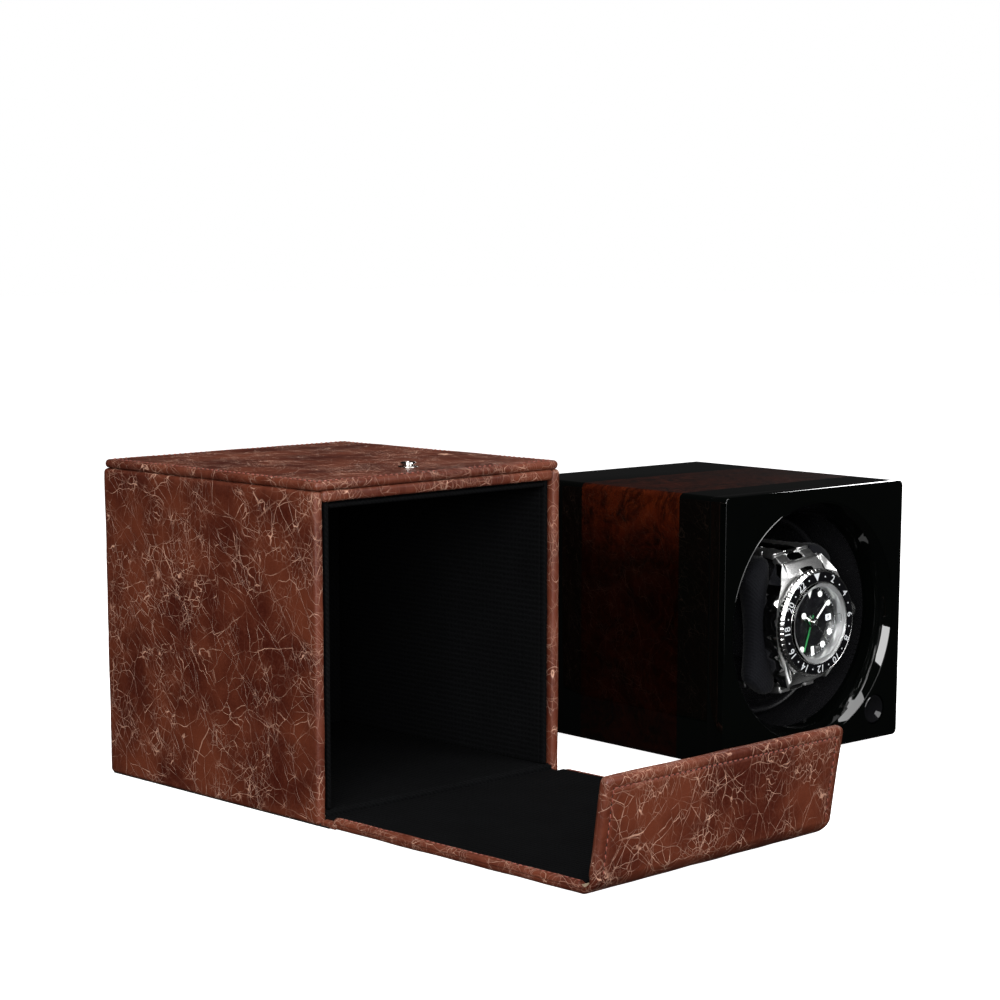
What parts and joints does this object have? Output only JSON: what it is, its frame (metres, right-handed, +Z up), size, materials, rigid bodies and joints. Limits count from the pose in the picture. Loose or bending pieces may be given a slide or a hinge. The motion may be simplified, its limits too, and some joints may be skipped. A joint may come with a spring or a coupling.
{
  "type": "watch winder with travel case",
  "caption": "Lacquered single watch winder with a wristwatch on its rotor, beside its open leather travel case with a fold-down door and closing flap.",
  "frame": {"origin": "centre of the travel case's base, on the surface it stands on", "axes": "+Z up, -Y out of the travel case's open front, +X towards the winder that stands beside it"},
  "size_m": [0.2658, 0.2481, 0.1172],
  "materials": {
    "leather": "brown hand-creased leather, pull-up finish, slight sheen",
    "leather_edge": "brown leather over board, stitched along its edges",
    "board": "grey-brown bookbinding board",
    "lining": "black fine woven lining cloth over board",
    "base_cloth": "black base sheet",
    "stud_metal": "bright nickel-plated",
    "lacquer": "black piano lacquer, mirror polish",
    "burl": "dark red-brown burl veneer under high-gloss lacquer",
    "sleeve": "black satin plastic",
    "cup": "black satin plastic with a bright rim",
    "felt": "black felt",
    "cover": "black fine-textured plastic",
    "screw_steel": "zinc-plated steel",
    "plate_plastic": "dark grey moulded plastic",
    "bearing_bronze": "sintered bronze",
    "gear_plastic": "natural acetal",
    "shaft_steel": "ground steel",
    "motor_steel": "plated steel can",
    "circuit": "green glass-fibre laminate",
    "button": "polished black plastic with a dished face",
    "cushion": "grey satin fabric over foam",
    "holder_plastic": "black satin plastic",
    "watch_steel": "brushed stainless steel",
    "polished_steel": "polished stainless steel",
    "insert": "gloss black ceramic with white numerals",
    "dial": "gloss black lacquer",
    "lume": "off-white luminous paint in steel surrounds",
    "movement_metal": "plated brass",
    "crystal": "clear sapphire",
    "hand_steel": "polished steel with luminous fill",
    "green_hand": "green lacquer"
  },
  "bodies": {
    "case": {"base_sheet": "base_cloth", "floor_board": "board", "side_boards": "board", "roof_board": "board", "back_board": "board", "leather_wrap": "leather", "lining_floor": "lining", "lining_sides": "lining", "lining_roof": "lining", "lining_back": "lining", "cover_board": "leather_edge", "press_stud": "stud_metal"},
    "door": {"door_leather": "leather", "door_board": "board", "door_lining": "lining"},
    "flap": {"flap_leather": "leather", "flap_board": "board", "flap_lining": "lining", "snap_socket": "stud_metal"},
    "winder": {"front_panel": "lacquer", "housing_shell": "lacquer", "burl_band": "burl", "opening_trim": "lacquer", "inner_sleeve": "sleeve", "felt_feet": "felt", "rear_cover": "cover", "cover_screws": "screw_steel", "motor_plate": "plate_plastic", "drive_screws": "screw_steel", "shaft_bearings": "bearing_bronze", "gear_motor": "motor_steel", "circuit_board": "circuit", "board_posts": "plate_plastic", "power_inlet": "cover", "switch_board": "circuit", "button_spring": "shaft_steel"},
    "rotor": {"rotor_cup": "cup", "rotor_shaft": "shaft_steel", "drive_gear": "gear_plastic"},
    "pinion": {"motor_pinion": "shaft_steel"},
    "button": {"push_button": "button"},
    "holder": {"holder_core": "holder_plastic", "cushions": "cushion", "holder_base": "holder_plastic", "watch_case": "watch_steel", "case_back_cover": "watch_steel", "movement": "movement_metal", "dial": "dial", "hour_markers": "lume", "crystal": "crystal", "bracelet_side_links": "watch_steel", "bracelet_centre_links": "polished_steel", "clasp": "watch_steel"},
    "bezel": {"watch_bezel": "polished_steel", "bezel_insert": "insert"},
    "crown": {"crown": "polished_steel"},
    "hour_hand_body": {"hour_hand": "hand_steel"},
    "minute_hand_body": {"minute_hand": "hand_steel"},
    "seconds_hand_body": {"seconds_hand": "hand_steel"},
    "second_zone_body": {"second_zone_hand": "green_hand"}
  },
  "joints": [
    {"name": "door_hinge", "type": "hinge", "parent": "case", "child": "door", "pos_m": [0, -0.0631, 0], "axis": [-1, 0, 0], "range_deg": [0, 90]},
    {"name": "flap_hinge", "type": "hinge", "parent": "door", "child": "flap", "pos_m": [0, -0.1805, 0.0038], "axis": [-1, 0, 0], "range_deg": [-81.6, 8.4]},
    {"name": "winder_lift", "type": "slide", "parent": "case", "child": "winder", "axis": [0, 0, 1], "range_m": [0, 0.15]},
    {"name": "rotor_spin", "type": "hinge", "parent": "winder", "child": "rotor", "pos_m": [0.1534, -0.0998, 0.0505], "axis": [0.0454, 0.999, 0], "continuous": true},
    {"name": "pinion_spin", "type": "hinge", "parent": "winder", "child": "pinion", "pos_m": [0.13523, -0.03241, 0.02929], "axis": [0.0454, 0.999, 0], "continuous": true},
    {"name": "button_push", "type": "slide", "parent": "winder", "child": "button", "axis": [0.0454, 0.999, 0], "range_m": [0, 0.0012], "stiffness_N_per_m": 400, "deforming": ["button_spring"]},
    {"name": "holder_slide", "type": "slide", "parent": "rotor", "child": "holder", "axis": [-0.0454, -0.999, 0], "range_m": [0, 0.075]},
    {"name": "bezel_turn", "type": "hinge", "parent": "holder", "child": "bezel", "pos_m": [0.1534, -0.0998, 0.0505], "axis": [0.0454, 0.999, 0], "continuous": true},
    {"name": "crown_turn", "type": "hinge", "parent": "holder", "child": "crown", "pos_m": [0.17648, -0.09644, 0.05262], "axis": [0.9947, -0.0452, 0.0924], "continuous": true},
    {"name": "minute_turn", "type": "hinge", "parent": "holder", "child": "minute_hand_body", "pos_m": [0.1534, -0.0998, 0.0505], "axis": [0.0454, 0.999, 0], "continuous": true},
    {"name": "hour_turn", "type": "hinge", "parent": "holder", "child": "hour_hand_body", "pos_m": [0.1534, -0.0998, 0.0505], "axis": [0.0454, 0.999, 0], "continuous": true},
    {"name": "second_zone_turn", "type": "hinge", "parent": "holder", "child": "second_zone_body", "pos_m": [0.1534, -0.0998, 0.0505], "axis": [0.0454, 0.999, 0], "continuous": true},
    {"name": "seconds_turn", "type": "hinge", "parent": "holder", "child": "seconds_hand_body", "pos_m": [0.1534, -0.0998, 0.0505], "axis": [0.0454, 0.999, 0], "continuous": true}
  ],
  "couplings": [
    {"joint": "pinion_spin", "follows": "rotor_spin", "ratio": -4},
    {"joint": "hour_turn", "follows": "minute_turn", "ratio": 0.083333},
    {"joint": "second_zone_turn", "follows": "minute_turn", "ratio": 0.041667}
  ]
}
